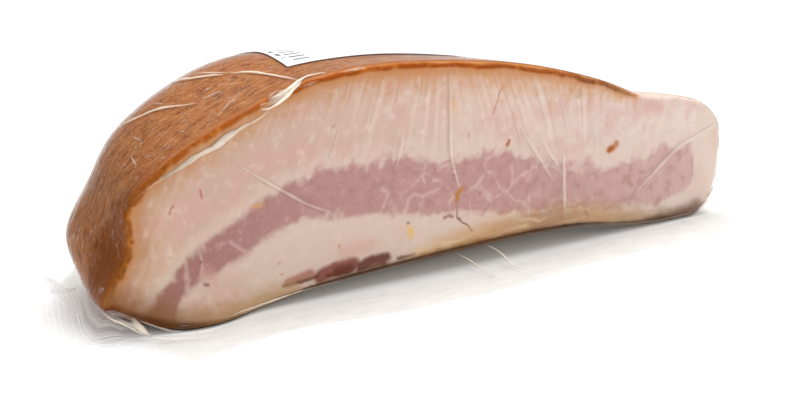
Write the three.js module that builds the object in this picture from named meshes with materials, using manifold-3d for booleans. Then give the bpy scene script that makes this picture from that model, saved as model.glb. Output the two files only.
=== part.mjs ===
// A piece of smoked pork jowl, vacuum packed in clear film, with a blank paper label on its rind.
// It lies on its underside with the cut face towards -Y and the rind over the top and the left end.
import * as THREE from "three";
import { mergeVertices } from "three/addons/utils/BufferGeometryUtils.js";
import Module from "manifold-3d";

const wasm = await Module();
wasm.setup();

// Sizes of the piece, in millimetres
const DEPTH = 80;
const POLE_X = 108;
const POLE_Z = 14;
const RIM_ROUNDING = 1.1;
const POINTS_AROUND = 84;
const RINGS_BACK = 22;

// How the section swells behind the cut
const SWELL_RUN = 29;
const LEFT_SWELL = 10.3;
const CROWN_SWELL = 8.4;
const BROW_SWELL = 2;
const CORNER_TUCK = 6;

// How far the foot of the cut bulges forwards at the thick end, and how soon that ends behind it
const LIP = 5;
const LIP_RUN = 14;

// The sealed film margin around the piece
const FILM_THICKNESS = 0.8;
const FILM_EMBEDDED = 4;
const FILM_LIFT = 1.4;
const FILM_DROP_RUN = 10;
const MARGIN_COLUMNS = 96;
const FLAP_HEIGHT = 13;

// The paper label on the crown
const LABEL = { left: 64, front: 11.7, width: 60, depth: 42, thickness: 0.5, clearance: 0.3 };

// The outline of the cut face as X and Z, clockwise from its lower left corner
const CUT_OUTLINE = [
  [0.3, 9.5], [7.5, 22], [8.8, 35], [20, 44.7], [44, 55.4], [63, 61.1], [84, 62.8], [110, 61],
  [140, 56.1], [166, 48.5], [184.5, 41.2], [196, 39.8], [207, 36.4], [214.4, 29.8],
  [215.8, 20.5], [212, 6], [204, 0.3], [186, 1], [160, 4.8], [140, 6], [104, 5.5],
  [66, 3.2], [46, 1], [22, 0], [12, 2.6], [5, 5.8],
];
const CUT_CENTRE = [108, 30];

// The outer edge of the film margin as X and Y, seen from above
const MARGIN_OUTLINE = [
  [0, -21.5], [9, -25.8], [24, -23], [44, -19.6], [66, -22.8], [90, -24.8], [114, -24.6],
  [140, -21.2], [162, -19.8], [184, -22], [202, -19.5], [213, -11], [220, 4], [222, 26],
  [217, 52], [203, 74], [178, 88], [146, 93], [108, 93], [70, 89], [40, 76], [20, 60], [6, 42],
  [-4, 26], [-11, 13], [-13, 3], [-9, -12],
];

function smooth(t) {
  const c = Math.min(Math.max(t, 0), 1);
  return c * c * (3 - 2 * c);
}

function mix(a, b, t) {
  return a + (b - a) * t;
}

function bell(t) {
  return Math.exp(-t * t);
}

function evenLoop(points, count) {
  const knots = points.map(([a, b]) => new THREE.Vector3(a, b, 0));
  const curve = new THREE.CatmullRomCurve3(knots, true, "centripetal");
  curve.arcLengthDivisions = 1000;
  return curve.getSpacedPoints(count).slice(0, count).map((p) => [p.x, p.y]);
}

const cutLoop = evenLoop(CUT_OUTLINE, POINTS_AROUND);

// One section of the piece, at a distance y behind the cut
function sectionAt(y) {
  const u = y / DEPTH;
  const grow = smooth(y / SWELL_RUN);
  const settle = 1 - smooth((y - 6) / 30);
  const widthScale = Math.sqrt(Math.max(1 - u ** 2.05, 0));
  const crownScale = Math.sqrt(Math.max(1 - (Math.max(u - 0.1, 0) / 0.9) ** 2.2, 0));
  const slopeScale = Math.max(1 - u ** 1.5, 0) ** 0.55;
  const footScale = Math.sqrt(Math.max(1 - u ** 6, 0));
  return cutLoop.map(([x0, z0]) => {
    const high = smooth((z0 - 17) / 25);
    const crown = CROWN_SWELL * bell((x0 - 37) / (x0 < 37 ? 79 : 31)) + BROW_SWELL * bell((x0 - 98) / 30);
    const flank = CORNER_TUCK * smooth((16 - z0) / 14) - LEFT_SWELL * bell((z0 - 22.4) / 8);
    const x = x0 + grow * bell(x0 / 57) * flank;
    let z = z0 + grow * high * crown;
    const end = smooth((Math.abs(x0 - POLE_X) - 88) / 16);
    if (z0 < 8) z = mix(-0.4, z, mix(settle, 1, end));
    const topScale = mix(crownScale, slopeScale, smooth((x0 - 50) / 110));
    const heightScale = mix(footScale, topScale, smooth((z0 - 6) / 22));
    const px = POLE_X + widthScale * (x - POLE_X);
    const pz = POLE_Z + heightScale * (z - POLE_Z);
    return [px, Math.max(pz, 0)];
  });
}

function insetLoop(loop, distance) {
  return loop.map((p, i) => {
    const a = loop[(i + loop.length - 1) % loop.length];
    const b = loop[(i + 1) % loop.length];
    const length = Math.hypot(b[0] - a[0], b[1] - a[1]);
    const nx = (b[1] - a[1]) / length;
    const nz = (a[0] - b[0]) / length;
    return [p[0] + nx * distance, Math.max(p[1] + nz * distance, 0)];
  });
}

// The lowest or highest surface of the piece over a point of the table
function surfaceHeight(x, y, upper) {
  const loop = sectionAt(Math.min(Math.max(y, 0), DEPTH * 0.995));
  let best = null;
  loop.forEach((a, i) => {
    const b = loop[(i + 1) % loop.length];
    if ((a[0] - x) * (b[0] - x) > 0 || a[0] === b[0]) return;
    const z = mix(a[1], b[1], (x - a[0]) / (b[0] - a[0]));
    if (best === null || (upper ? z > best : z < best)) best = z;
  });
  return best;
}

function geometryFrom(positions, faces) {
  const geometry = new THREE.BufferGeometry();
  geometry.setAttribute("position", new THREE.Float32BufferAttribute(positions.flat(), 3));
  geometry.setIndex(faces.flat());
  return geometry;
}

// How far forwards of its section a point lies
function lipAt(x, y, z) {
  return LIP * bell((x - 29) / 14) * smooth((12 - z) / 12) * (1 - smooth(y / LIP_RUN));
}

// The piece itself: the cut, its rounded rim, then rings that close on a pole at the back
function buildPiece() {
  const rings = [];
  const rimLoop = insetLoop(sectionAt(0), RIM_ROUNDING);
  for (const scale of [0.6, 0.78, 0.9, 1]) {
    const loop = rimLoop.map(([x, z]) => [mix(CUT_CENTRE[0], x, scale), mix(CUT_CENTRE[1], z, scale)]);
    rings.push({ y: 0, loop });
  }
  rings.push({ y: 0.35 * RIM_ROUNDING, loop: insetLoop(sectionAt(0.4), 0.35 * RIM_ROUNDING) });
  rings.push({ y: RIM_ROUNDING, loop: sectionAt(RIM_ROUNDING) });
  for (let i = 1; i < RINGS_BACK; i++) {
    const y = DEPTH * Math.sin((i / RINGS_BACK) * Math.PI / 2);
    rings.push({ y, loop: sectionAt(y) });
  }
  const n = POINTS_AROUND;
  const positions = rings.flatMap(({ y, loop }) => loop.map(([x, z]) => [x, y - lipAt(x, y, z), z]));
  const pole = positions.push([POLE_X, DEPTH, POLE_Z]) - 1;
  const faces = [];
  for (let r = 0; r < rings.length; r++) {
    for (let i = 0; i < n; i++) {
      const j = (i + 1) % n;
      const a = r * n + i;
      const b = r * n + j;
      if (r === rings.length - 1) faces.push([a, b, pole]);
      else faces.push([a, b + n, a + n], [a, b, b + n]);
    }
  }
  const rim = rings[0].loop.map(([x, z]) => new THREE.Vector2(x, z));
  for (const [a, b, c] of THREE.ShapeUtils.triangulateShape(rim, [])) faces.push([a, b, c]);
  return geometryFrom(positions, faces);
}

// The line where the film leaves the piece: the lower edge of the cut, then both sides and the back
function partingLoop() {
  const nearest = (x, z) => {
    const gaps = cutLoop.map((p) => Math.hypot(p[0] - x, p[1] - z));
    return gaps.indexOf(Math.min(...gaps));
  };
  const left = nearest(3, 7);
  const right = nearest(212.5, 6);
  const front = cutLoop.slice(right, left + 1).reverse();
  const points = front.map(([x, z]) => [x, -lipAt(x, 0, z), Math.max(z, 0)]);
  const steps = 30;
  for (let i = 1; i < steps; i++) {
    const y = DEPTH * Math.sin((i / steps) * Math.PI / 2);
    const [x, z] = sectionAt(y)[right];
    points.push([x, y, z]);
  }
  points.push([POLE_X, DEPTH, POLE_Z]);
  for (let i = steps - 1; i > 0; i--) {
    const y = DEPTH * Math.sin((i / steps) * Math.PI / 2);
    const [x, z] = sectionAt(y)[left];
    points.push([x, y, z]);
  }
  return points;
}

function castOn(loop, centre, angle) {
  const dx = Math.cos(angle);
  const dy = Math.sin(angle);
  for (let i = 0; i < loop.length; i++) {
    const a = loop[i];
    const b = loop[(i + 1) % loop.length];
    const sa = dx * (a[1] - centre[1]) - dy * (a[0] - centre[0]);
    const sb = dx * (b[1] - centre[1]) - dy * (b[0] - centre[0]);
    if (sa > 0 === sb > 0) continue;
    const t = sa / (sa - sb);
    const x = mix(a[0], b[0], t) - centre[0];
    const y = mix(a[1], b[1], t) - centre[1];
    if (x * dx + y * dy > 0) return { radius: Math.hypot(x, y), z: mix(a[2], b[2], t) };
  }
  return null;
}

// The height of the curled flap at the left end
function flapLift(x, y) {
  const along = smooth((y + 1) / 12) * (1 - smooth((y - 20) / 24));
  return FLAP_HEIGHT * along * smooth((24 - x) / 20);
}

// The film margin: a sheet from inside the piece down to the table and out to its edge
function buildMargin() {
  const centre = [POLE_X, 30];
  const parting = partingLoop();
  const edge = evenLoop(MARGIN_OUTLINE, MARGIN_COLUMNS);
  const rows = 7;
  const lower = [];
  for (const [ex, ey] of edge) {
    const angle = Math.atan2(ey - centre[1], ex - centre[0]);
    const hit = castOn(parting, centre, angle);
    const reach = Math.hypot(ex - centre[0], ey - centre[1]);
    const width = reach - hit.radius;
    const drop = Math.min(FILM_DROP_RUN, 0.65 * width);
    const offsets = [-FILM_EMBEDDED, -1, 0.25 * drop, 0.55 * drop, drop, mix(drop, width, 0.5), width];
    const column = offsets.map((offset) => {
      const x = centre[0] + (hit.radius + offset) * Math.cos(angle);
      const y = centre[1] + (hit.radius + offset) * Math.sin(angle);
      if (offset < 0) {
        const under = surfaceHeight(x, y, false) ?? hit.z;
        return [x, y, under + FILM_LIFT];
      }
      const fall = (hit.z + FILM_LIFT) * (1 - smooth(offset / drop));
      return [x, y, fall + flapLift(ex, ey) * smooth(offset / width)];
    });
    lower.push(column);
  }
  const positions = lower.flat();
  const half = positions.length;
  positions.push(...lower.flat().map(([x, y, z]) => [x, y, z + FILM_THICKNESS]));
  const faces = [];
  const quad = (a, b, c, d) => faces.push([a, b, c], [a, c, d]);
  for (let k = 0; k < MARGIN_COLUMNS; k++) {
    const a = k * rows;
    const b = ((k + 1) % MARGIN_COLUMNS) * rows;
    for (let r = 0; r < rows - 1; r++) {
      quad(a + r, b + r, b + r + 1, a + r + 1);
      quad(half + a + r, half + a + r + 1, half + b + r + 1, half + b + r);
    }
    const last = rows - 1;
    quad(a, half + a, half + b, b);
    quad(a + last, b + last, half + b + last, half + a + last);
  }
  return geometryFrom(positions, faces);
}

// The label: a sheet that follows the crown just clear of it
function buildLabel() {
  const columns = 16;
  const rows = 12;
  const positions = [];
  for (const lift of [LABEL.clearance, LABEL.clearance + LABEL.thickness]) {
    for (let j = 0; j <= rows; j++) {
      for (let i = 0; i <= columns; i++) {
        const x = LABEL.left + (LABEL.width * i) / columns;
        const y = LABEL.front + (LABEL.depth * j) / rows;
        const z = surfaceHeight(x, y, true);
        const slopeX = (surfaceHeight(x + 1, y, true) - z);
        const slopeY = (surfaceHeight(x, y + 1, true) - z);
        const length = Math.hypot(slopeX, slopeY, 1);
        const push = lift / length;
        positions.push([x - slopeX * push, y - slopeY * push, z + push]);
      }
    }
  }
  const across = columns + 1;
  const half = across * (rows + 1);
  const faces = [];
  const quad = (a, b, c, d) => faces.push([a, b, c], [a, c, d]);
  for (let j = 0; j < rows; j++) {
    for (let i = 0; i < columns; i++) {
      const a = j * across + i;
      quad(a, a + across, a + across + 1, a + 1);
      quad(half + a, half + a + 1, half + a + across + 1, half + a + across);
    }
    const left = j * across;
    const right = left + columns;
    quad(left, half + left, half + left + across, left + across);
    quad(right, right + across, half + right + across, half + right);
  }
  for (let i = 0; i < columns; i++) {
    const back = rows * across + i;
    quad(i, i + 1, half + i + 1, half + i);
    quad(back, half + back, half + back + 1, back + 1);
  }
  return geometryFrom(positions, faces);
}

function toManifold(geometry) {
  const clean = geometry.clone();
  clean.deleteAttribute("normal");
  clean.deleteAttribute("uv");
  const welded = mergeVertices(clean, 1e-4);
  return new wasm.Manifold(new wasm.Mesh({
    numProp: 3,
    vertProperties: new Float32Array(welded.attributes.position.array),
    triVerts: new Uint32Array(welded.index.array),
  }));
}

function fromManifold(solid) {
  const mesh = solid.getMesh();
  const geometry = new THREE.BufferGeometry();
  geometry.setAttribute("position", new THREE.BufferAttribute(mesh.vertProperties, 3));
  geometry.setIndex(new THREE.BufferAttribute(mesh.triVerts, 1));
  geometry.computeVertexNormals();
  return geometry;
}

const packedGeometry = fromManifold(toManifold(buildPiece()).add(toManifold(buildMargin())));
const labelGeometry = buildLabel();
labelGeometry.computeVertexNormals();

const packedMaterial = new THREE.MeshStandardMaterial({
  color: new THREE.Color(0.78, 0.6, 0.52),
  roughness: 0.25,
  metalness: 0,
});
const labelMaterial = new THREE.MeshStandardMaterial({
  color: new THREE.Color(0.93, 0.93, 0.92),
  roughness: 0.6,
  metalness: 0,
});

// The frame's origin is the middle of the whole part's footprint, on the table
packedGeometry.computeBoundingBox();
const bounds = packedGeometry.boundingBox;
const middleX = (bounds.min.x + bounds.max.x) / 2;
const middleY = (bounds.min.y + bounds.max.y) / 2;
const packedJowl = new THREE.Mesh(packedGeometry, packedMaterial);
packedJowl.name = "packed_jowl";
const label = new THREE.Mesh(labelGeometry, labelMaterial);
label.name = "label";
const jowlPack = new THREE.Group();
jowlPack.name = "smoked_jowl_pack";
jowlPack.add(packedJowl, label);
jowlPack.position.set(-middleX, -middleY, -bounds.min.z);

export default jowlPack;
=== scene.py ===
# %% [markdown]
# # A vacuum-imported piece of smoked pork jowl
# The real thing is a half-moon slab of pork cheek: brown smoked rind over the top and one end,
# pale fat with a band of pink lean inside, and one flat cut. Clear film is sucked tight around it
# and ends in a flat margin on the table. A paper label is stuck on the crown. The scene keeps the
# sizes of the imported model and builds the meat, the film and the label around them.

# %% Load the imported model
import math
import random

import bmesh
import bpy
import numpy as np
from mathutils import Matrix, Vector
from mathutils.bvhtree import BVHTree


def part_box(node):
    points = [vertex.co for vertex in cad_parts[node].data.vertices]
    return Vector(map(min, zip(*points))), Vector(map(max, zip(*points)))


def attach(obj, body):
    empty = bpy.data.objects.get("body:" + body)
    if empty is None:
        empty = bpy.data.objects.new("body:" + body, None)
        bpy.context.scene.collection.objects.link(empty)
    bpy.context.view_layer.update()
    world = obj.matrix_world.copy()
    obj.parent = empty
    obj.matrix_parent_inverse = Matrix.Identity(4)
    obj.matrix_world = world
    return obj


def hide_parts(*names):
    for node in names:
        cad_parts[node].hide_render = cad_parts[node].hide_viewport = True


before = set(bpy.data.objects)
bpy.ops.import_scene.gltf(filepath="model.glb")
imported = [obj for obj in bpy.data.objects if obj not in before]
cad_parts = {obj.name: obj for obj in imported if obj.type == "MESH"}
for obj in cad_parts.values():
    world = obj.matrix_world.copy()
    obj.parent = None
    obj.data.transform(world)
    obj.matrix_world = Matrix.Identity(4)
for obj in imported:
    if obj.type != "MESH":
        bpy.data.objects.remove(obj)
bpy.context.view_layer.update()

solid_low, solid_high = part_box("packed_jowl")
label_low, label_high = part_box("label")
print("nodes:", sorted(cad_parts))

# %% [markdown]
# ## Measuring from the cut
# Everything on the meat is measured in millimetres from the cut: x runs along the cut from the
# thick rind end, y goes into the piece, z is the height over the table. The film margin is what
# sticks out furthest, so the cut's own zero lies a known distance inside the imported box.

# %% Where the cut lies in the frame
MM = 0.001
MARGIN_LEFT = 12.92
MARGIN_FRONT = 25.84
CUT_X = solid_low[0] + MARGIN_LEFT * MM
CUT_Y = solid_low[1] + MARGIN_FRONT * MM


def place(x, y, z):
    """A point of the frame in metres, from millimetres measured at the cut"""
    return Vector((CUT_X + x * MM, CUT_Y + y * MM, z * MM))


def at_cut_mm(point):
    """The other way round: millimetres at the cut from a point of the frame"""
    return (point.x - CUT_X) / MM, max((point.y - CUT_Y) / MM, 0.0), point.z / MM


print("cut starts at", [round(c, 4) for c in place(0, 0, 0)])

# %% [markdown]
# ## The shape of the meat as a rule
# A jowl has no straight edge to draw, so its form is a rule: the outline of the cut, swelling to
# the left and upwards just behind it, and shrinking to a rounded back like a dome. Meat and film
# use the same rule at slightly different distances, so they fit each other everywhere.

# %% The outline of the cut and the rule for the sections behind it
DEPTH = 80.0
POLE = (108.0, 14.0)
CUT_OUTLINE = [
    (0.3, 9.5), (7.5, 22), (8.8, 35), (20, 44.7), (44, 55.4), (63, 61.1), (84, 62.8), (110, 61),
    (140, 56.1), (166, 48.5), (184.5, 41.2), (196, 39.8), (207, 36.4), (214.4, 29.8),
    (215.8, 20.5), (212.6, 5.4), (205, 0.1), (190, 0.1), (176, 1.4), (160, 3.8), (140, 4.7),
    (104, 4.1), (66, 2.3), (46, 0.5), (22, 0), (12, 2.6), (5, 5.8),
]


def soft_step(t):
    t = np.clip(t, 0.0, 1.0)
    return t * t * (3.0 - 2.0 * t)


def bell(t):
    return np.exp(-t * t)


def even_loop(points, count):
    """A smooth closed curve through a few points, as evenly spaced points"""
    knots = np.array(points, float)
    total = len(knots)
    fine = []
    for step in range(total * 60):
        i, t = divmod(step / 60.0, 1.0)
        p0, p1, p2, p3 = (knots[(int(i) + shift) % total] for shift in (-1, 0, 1, 2))
        a, b, c = (max(np.linalg.norm(v) ** 0.5, 1e-4) for v in (p1 - p0, p2 - p1, p3 - p2))
        m1 = ((p1 - p0) / a - (p2 - p0) / (a + b) + (p2 - p1) / b) * b
        m2 = ((p2 - p1) / b - (p3 - p1) / (b + c) + (p3 - p2) / c) * b
        bend = -3 * p1 + 3 * p2 - 2 * m1 - m2
        twist = 2 * p1 - 2 * p2 + m1 + m2
        fine.append(p1 + m1 * t + bend * t * t + twist * t ** 3)
    fine = np.array(fine + [fine[0]])
    travelled = np.r_[0, np.cumsum(np.linalg.norm(np.diff(fine, axis=0), axis=1))]
    stops = np.linspace(0, travelled[-1], count, endpoint=False)
    return np.stack([np.interp(stops, travelled, fine[:, k]) for k in (0, 1)], axis=1)


def section(loop, y):
    """The outline of the piece at the distance y behind the cut"""
    x0, z0 = loop[:, 0], loop[:, 1]
    u = min(y / DEPTH, 1.0)
    grow = soft_step(y / 29.0)
    settle = 1.0 - soft_step((y - 6.0) / 30.0)
    high = soft_step((z0 - 17.0) / 25.0)
    crown = 8.4 * bell((x0 - 37.0) / np.where(x0 < 37.0, 79.0, 31.0)) + 2.0 * bell((x0 - 98.0) / 30.0)
    flank = 6.0 * soft_step((16.0 - z0) / 14.0) - 10.3 * bell((z0 - 22.4) / 8.0)
    x = x0 + grow * bell(x0 / 57.0) * flank
    z = z0 + grow * high * crown
    end = soft_step((np.abs(x0 - POLE[0]) - 88.0) / 16.0)
    low = -0.4 + (z + 0.4) * (settle + (1.0 - settle) * end)
    z = np.where(z0 < 8.0, low, z)
    width_scale = math.sqrt(max(1.0 - u ** 2.05, 0.0))
    crown_scale = math.sqrt(max(1.0 - (max(u - 0.1, 0.0) / 0.9) ** 2.2, 0.0))
    slope_scale = max(1.0 - u ** 1.5, 0.0) ** 0.55
    foot_scale = math.sqrt(max(1.0 - u ** 6, 0.0))
    side = soft_step((x0 - 50.0) / 110.0)
    top_scale = crown_scale + (slope_scale - crown_scale) * side
    upper = soft_step((z0 - 6.0) / 22.0)
    height_scale = foot_scale + (top_scale - foot_scale) * upper
    px = POLE[0] + width_scale * (x - POLE[0])
    pz = POLE[1] + height_scale * (z - POLE[1])
    return np.stack([px, np.maximum(pz, 0.0)], axis=1)


def lip(x, y, z):
    """How far forwards of its section a point lies: the foot bulges at the thick end"""
    return 5.0 * bell((x - 29.0) / 14.0) * soft_step((12.0 - z) / 12.0) * (1.0 - soft_step(y / 14.0))


def inset(loop, distance):
    """The outline moved inwards by a distance"""
    along = np.roll(loop, -1, axis=0) - np.roll(loop, 1, axis=0)
    along /= np.linalg.norm(along, axis=1)[:, None]
    inward = np.stack([along[:, 1], -along[:, 0]], axis=1)
    moved = loop + inward * np.reshape(distance, (-1, 1))
    moved[:, 1] = np.maximum(moved[:, 1], 0.0)
    return moved


def rounded(loop, distance, gap=0.0):
    """Moved inwards for the rounded rim of the cut, which is sharper along the foot"""
    return inset(loop, gap + (distance - gap) * (1.0 - 0.7 * soft_step((9.0 - loop[:, 1]) / 4.0)))


print("cut outline:", len(CUT_OUTLINE), "points, depth", DEPTH, "mm")

# %% [markdown]
# ## The camera
# The camera looks at the cut from the left at the angle of the photograph, a little from above,
# through a long lens. It comes first because every later look depends on it.

# %% Camera at the photograph's angle
AZIMUTH = math.radians(-35.0)
ELEVATION = math.radians(16.0)
DISTANCE = 540.0
AIM = (84.5, -12.0, 25.2)
SENSOR = 36.0
FOCAL_PIXELS = 1985.0
PICTURE_WIDTH = 800.0
away = Vector((math.sin(AZIMUTH) * math.cos(ELEVATION), -math.cos(AZIMUTH) * math.cos(ELEVATION),
               math.sin(ELEVATION)))
camera_data = bpy.data.cameras.new("camera")
camera_data.sensor_width = SENSOR
camera_data.lens = SENSOR * FOCAL_PIXELS / PICTURE_WIDTH
camera_data.clip_start = 0.01
camera_data.clip_end = 20.0
camera = bpy.data.objects.new("camera", camera_data)
bpy.context.scene.collection.objects.link(camera)
camera.location = place(*AIM) + away * DISTANCE * MM
camera.rotation_euler = (-away).to_track_quat("-Z", "Y").to_euler()
bpy.context.scene.camera = camera
print("camera at", [round(c, 3) for c in camera.location], "lens", round(camera_data.lens, 1))

# %% [markdown]
# ## Lofting with extrude
# A tube with changing sections can be made with curves, with a skin modifier or by hand. By hand
# gives full control: a circle is shaped to the first ring, its edges are extruded, the new ring is
# shaped to the next section, and so on. Each vertex remembers its number around the ring.

# %% A helper that extrudes a circle from ring to ring
def activate(piece):
    bpy.ops.object.select_all(action="DESELECT")
    piece.select_set(True)
    bpy.context.view_layer.objects.active = piece


def loft(name, rings, fill_start=True, fill_end=True):
    bpy.ops.object.select_all(action="DESELECT")
    bpy.ops.mesh.primitive_circle_add(vertices=len(rings[0]), radius=0.01, fill_type="NOTHING")
    piece = bpy.context.active_object
    piece.name = name
    piece.data.name = name
    numbers = piece.data.attributes.new("around", "INT", "POINT")
    numbers.data.foreach_set("value", list(range(len(rings[0]))))
    piece.data.attributes.new("row", "INT", "POINT")
    bpy.ops.object.mode_set(mode="EDIT")
    bpy.ops.mesh.select_all(action="SELECT")
    for step, ring in enumerate(rings):
        if step:
            bpy.ops.mesh.extrude_edges_move()
        shape = bmesh.from_edit_mesh(piece.data)
        around, row = shape.verts.layers.int["around"], shape.verts.layers.int["row"]
        for vertex in shape.verts:
            if vertex.select:
                vertex.co = ring[vertex[around]]
                vertex[row] = step
        bmesh.update_edit_mesh(piece.data)
        if step == 0 and fill_start:
            bpy.ops.mesh.edge_face_add()
    if fill_end:
        bpy.ops.mesh.edge_face_add()
    bpy.ops.mesh.select_all(action="SELECT")
    bpy.ops.mesh.normals_make_consistent(inside=False)
    bpy.ops.object.mode_set(mode="OBJECT")
    bpy.ops.object.shade_smooth()
    return piece


def report(piece):
    corners = [round(v / MM, 1) for v in piece.dimensions]
    faces = sum(len(p.vertices) - 2 for p in piece.data.polygons)
    print(piece.name, "measures", corners, "mm,", faces, "triangles")


# %% [markdown]
# ## The meat
# The piece of meat starts as a small ring in the middle of the cut, grows to the rounded rim of
# the cut, which is sharper along the foot, and goes back section by section to the blunt rear. It
# lies a third of a millimetre inside the film. The cut is slightly uneven, because the lean band
# gives more than the fat.

# %% Rings of the meat
MEAT_AROUND = 300
FILM_GAP = 0.3
cut_loop = even_loop(CUT_OUTLINE, MEAT_AROUND)
CUT_CENTRE = np.array([108.0, 30.0])


def as_points(loop, y):
    return [place(x, y - lip(x, y, z), z) for x, z in loop]


def cut_relief(loop):
    """How deep the cut sits behind its plane: slow waves and a slightly sunken lean band"""
    x, z = loop[:, 0], loop[:, 1]
    wave = 0.35 * np.sin(x / 17.0 + 0.6) * np.cos(z / 14.0) + 0.2 * np.sin(x / 6.3 + z / 9.0)
    band = bell((z - 24.0 - 6.0 * np.sin(x / 60.0)) / 9.0)
    return 0.35 + 0.3 * wave + 0.35 * band


meat_rings = []
for scale in [0.02, 0.08, 0.15] + list(np.linspace(0.2, 0.9, 24)) + [0.925, 0.945, 0.96, 0.972, 0.982, 0.991]:
    loop = CUT_CENTRE + scale * (rounded(cut_loop, 1.2, FILM_GAP) - CUT_CENTRE)
    depth = FILM_GAP + cut_relief(loop) * min(1.0, (1.0 - scale) * 12.0)
    meat_rings.append([place(x, y - lip(x, 0.0, z), z) for (x, z), y in zip(loop, depth)])
for y, distance in ((FILM_GAP, 1.2), (FILM_GAP + 0.12, 0.85), (FILM_GAP + 0.4, 0.52), (FILM_GAP + 0.8, 0.36)):
    meat_rings.append(as_points(rounded(section(cut_loop, y), distance, FILM_GAP), y))
for step in range(1, 61):
    y = 1.3 + (DEPTH - FILM_GAP - 1.3) * math.sin(step / 61.0 * math.pi / 2)
    meat_rings.append(as_points(inset(section(cut_loop, y), FILM_GAP), y))
jowl = loft("smoked_jowl", meat_rings)
report(jowl)

# %% [markdown]
# Smoke colours the meat from its outside, so the colours of the cut depend on how far a point is
# from the rind or from the foot. Those distances are easy to measure here and awkward to measure
# in a shader, so they are stored on the vertices, in millimetres.

# %% Distances from the rind and from the foot, stored on the vertices
def distance_to(line, points):
    """The shortest distance in the plane of the cut from each point to a broken line"""
    best = np.full(len(points), 1e9)
    for start, end in zip(line[:-1], line[1:]):
        run = end - start
        t = np.clip(((points - start) @ run) / (run @ run), 0.0, 1.0)
        best = np.minimum(best, np.linalg.norm(points - start - t[:, None] * run, axis=1))
    return best


def nearest(loop, x, z):
    return int(np.argmin(np.hypot(loop[:, 0] - x, loop[:, 1] - z)))


left_foot, right_foot = nearest(cut_loop, 3, 7), nearest(cut_loop, 212.5, 6)
rind_end = nearest(cut_loop, 181, 42.5)
rind_line = np.vstack([cut_loop[left_foot:], cut_loop[:rind_end]])
foot_part = cut_loop[right_foot:left_foot + 1]
coords = np.array([vertex.co[:] for vertex in jowl.data.vertices])
on_cut = np.stack([(coords[:, 0] - CUT_X) / MM, coords[:, 2] / MM], axis=1)
number = np.zeros(len(coords), dtype=np.int32)
jowl.data.attributes["around"].data.foreach_get("value", number)
foot_share = ((number > right_foot + 1) & (number < left_foot - 1)).astype(float)
for name, values in (("rind_mm", distance_to(rind_line, on_cut)), ("foot_mm", distance_to(foot_part, on_cut)),
                     ("foot_share", foot_share)):
    store = jowl.data.attributes.new(name, "FLOAT", "POINT")
    store.data.foreach_set("value", values)
    print(name, "runs from", round(values.min(), 1), "to", round(values.max(), 1))

# %% [markdown]
# ## The film that clings to the meat
# Vacuum film follows the meat like a skin, so it is lofted with the same rule without the gap. It
# bridges the small hollows of the cut as one taut sheet. It stays a single sheet: its outside
# gives the gloss, and thickness would only add noise.

# %% Rings of the film skin
FILM_AROUND = 320
film_loop = even_loop(CUT_OUTLINE, FILM_AROUND)
film_rings = []
for scale in [0.03] + list(np.linspace(0.12, 0.92, 22)) + [0.95, 0.97, 0.985]:
    loop = CUT_CENTRE + scale * (rounded(film_loop, 1.1) - CUT_CENTRE)
    film_rings.append(as_points(loop, 0.0))
for y, distance in ((0.0, 1.1), (0.1, 0.75), (0.38, 0.38), (0.7, 0.16), (1.1, 0.0)):
    film_rings.append(as_points(rounded(section(film_loop, y), distance), y))
for step in range(1, 71):
    y = 1.1 + (DEPTH - 1.15) * math.sin(step / 71.0 * math.pi / 2)
    film_rings.append(as_points(section(film_loop, y), y))
film_skin = loft("film_skin", film_rings)
report(film_skin)

# %% [markdown]
# ## The film margin
# Below the meat the two layers of film meet and spread over the table as a thin margin with a
# wavy edge. At the thick end it curls up into a flap. It is a ring strip: a loop inside the
# foot of the meat, extruded outwards row by row until it reaches the cut edge of the bag.

# %% The edge of the margin and the line where the film leaves the meat
MARGIN_EDGE = [
    (0, -21.5), (9, -25.8), (24, -23), (44, -19.6), (66, -22.8), (90, -24.8), (114, -24.6),
    (140, -21.2), (162, -19.8), (184, -22), (202, -19.5), (213, -11), (220, 4), (222, 26),
    (217, 52), (203, 74), (178, 88), (146, 93), (108, 93), (70, 89), (40, 76), (20, 60), (6, 42),
    (-4, 26), (-11, 13), (-13, 3), (-9, -12),
]
MARGIN_CENTRE = np.array([108.0, 30.0])
MARGIN_AROUND = 640
margin_edge = even_loop(MARGIN_EDGE, MARGIN_AROUND)


foot_line = [(x, -lip(x, 0.0, z), max(z, 0.0)) for x, z in foot_part[::-1]]
back_steps = [DEPTH * math.sin(step / 40.0 * math.pi / 2) for step in range(1, 40)]
for y in back_steps:
    x, z = section(cut_loop, y)[right_foot]
    foot_line.append((x, y, z))
foot_line.append((POLE[0], DEPTH, POLE[1]))
for y in reversed(back_steps):
    x, z = section(cut_loop, y)[left_foot]
    foot_line.append((x, y, z))
foot_line = np.array(foot_line)


def foot_at(angle):
    """How far from the centre the film leaves the meat in one direction, and how high"""
    dx, dy = math.cos(angle), math.sin(angle)
    ax, ay = foot_line[:, 0] - MARGIN_CENTRE[0], foot_line[:, 1] - MARGIN_CENTRE[1]
    side = dx * ay - dy * ax
    after = np.roll(side, -1)
    for i in np.nonzero((side > 0) != (after > 0))[0]:
        t = side[i] / (side[i] - after[i])
        hit = foot_line[i] + (foot_line[(i + 1) % len(foot_line)] - foot_line[i]) * t
        x, y = hit[0] - MARGIN_CENTRE[0], hit[1] - MARGIN_CENTRE[1]
        if x * dx + y * dy > 0:
            return math.hypot(x, y), hit[2]


print("film leaves the meat along", len(foot_line), "points")

# %% [markdown]
# The rows of the margin fall from the foot of the meat to the table, then run out flat. Folds are
# added where the real film has them: fine ribs along the flap at the thick end, pleats fanning out
# of the lower left corner, and shallow waves along the front.

# %% Rows of the margin
FLAP_HEIGHT = 13.0
DROP_RUN = 10.0
LIFTED = 0.3


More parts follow.
